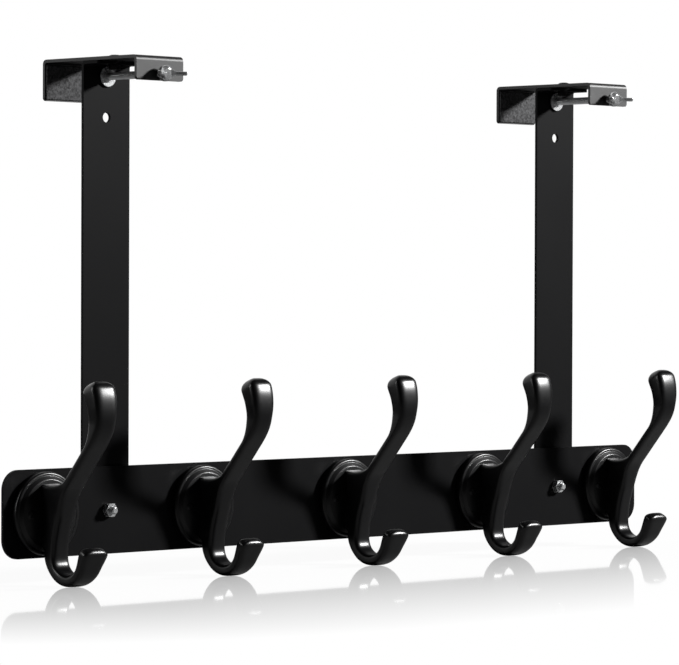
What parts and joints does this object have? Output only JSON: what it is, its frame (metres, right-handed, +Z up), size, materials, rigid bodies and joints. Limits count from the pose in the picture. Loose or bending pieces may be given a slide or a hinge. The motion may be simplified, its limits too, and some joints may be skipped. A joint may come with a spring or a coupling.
{
  "type": "over door hook rack",
  "caption": "Over-door rack: a flat rail of cast double hooks hung from two straps whose slotted channels reach over the door and clamp it with wing screws.",
  "frame": {"origin": "midway between the two round holes near the straps' tops, on the straps' back faces, which lie on the door", "axes": "+X along the rail, +Y backwards into the door, +Z up"},
  "size_m": [0.585, 0.0993, 0.3234],
  "materials": {
    "powder_coat": "semi-gloss black powder coat",
    "gloss_enamel": "glossy black stoved enamel on a casting",
    "foam": "matt closed-cell foam",
    "chrome_plate": "bright plated",
    "zinc_plate": "bright zinc",
    "black_screw": "blackened steel"
  },
  "bodies": {
    "root": {"rail": "powder_coat", "strap_left": "powder_coat", "pressure_pad_left": "zinc_plate", "tab_screw_left": "black_screw", "tab_nut_left": "black_screw", "rail_bolt_left": "powder_coat", "rail_nut_left": "powder_coat", "strap_right": "powder_coat", "pressure_pad_right": "zinc_plate", "tab_screw_right": "black_screw", "tab_nut_right": "black_screw", "rail_bolt_right": "powder_coat", "rail_nut_right": "powder_coat", "hook_1": "gloss_enamel", "hook_1_screws": "black_screw", "hook_2": "gloss_enamel", "hook_2_screws": "black_screw", "hook_3": "gloss_enamel", "hook_3_screws": "black_screw", "hook_4": "gloss_enamel", "hook_4_screws": "black_screw", "hook_5": "gloss_enamel", "hook_5_screws": "black_screw"},
    "clamp_channel_left": {"channel_left": "powder_coat", "foam_pad_left": "foam"},
    "clamp_screw_left": {"wing_screw_left": "chrome_plate"},
    "clamp_channel_right": {"channel_right": "powder_coat", "foam_pad_right": "foam"},
    "clamp_screw_right": {"wing_screw_right": "chrome_plate"}
  },
  "joints": [
    {"name": "channel_slide_left", "type": "slide", "parent": "root", "child": "clamp_channel_left", "axis": [0, 1, 0], "range_m": [0, 0.017]},
    {"name": "wing_screw_turn_left", "type": "hinge", "parent": "root", "child": "clamp_screw_left", "pos_m": [-0.2085, -0.03, 0.0252], "axis": [0, -1, 0], "range_deg": [0, 7651]},
    {"name": "channel_slide_right", "type": "slide", "parent": "root", "child": "clamp_channel_right", "axis": [0, 1, 0], "range_m": [0, 0.017]},
    {"name": "wing_screw_turn_right", "type": "hinge", "parent": "root", "child": "clamp_screw_right", "pos_m": [0.2085, -0.03, 0.0252], "axis": [0, -1, 0], "range_deg": [0, 7651]}
  ],
  "couplings": [
    {"joint": "wing_screw_turn_left", "follows": "channel_slide_left", "rad_per_m": 7854},
    {"joint": "wing_screw_turn_right", "follows": "channel_slide_right", "rad_per_m": 7854}
  ]
}
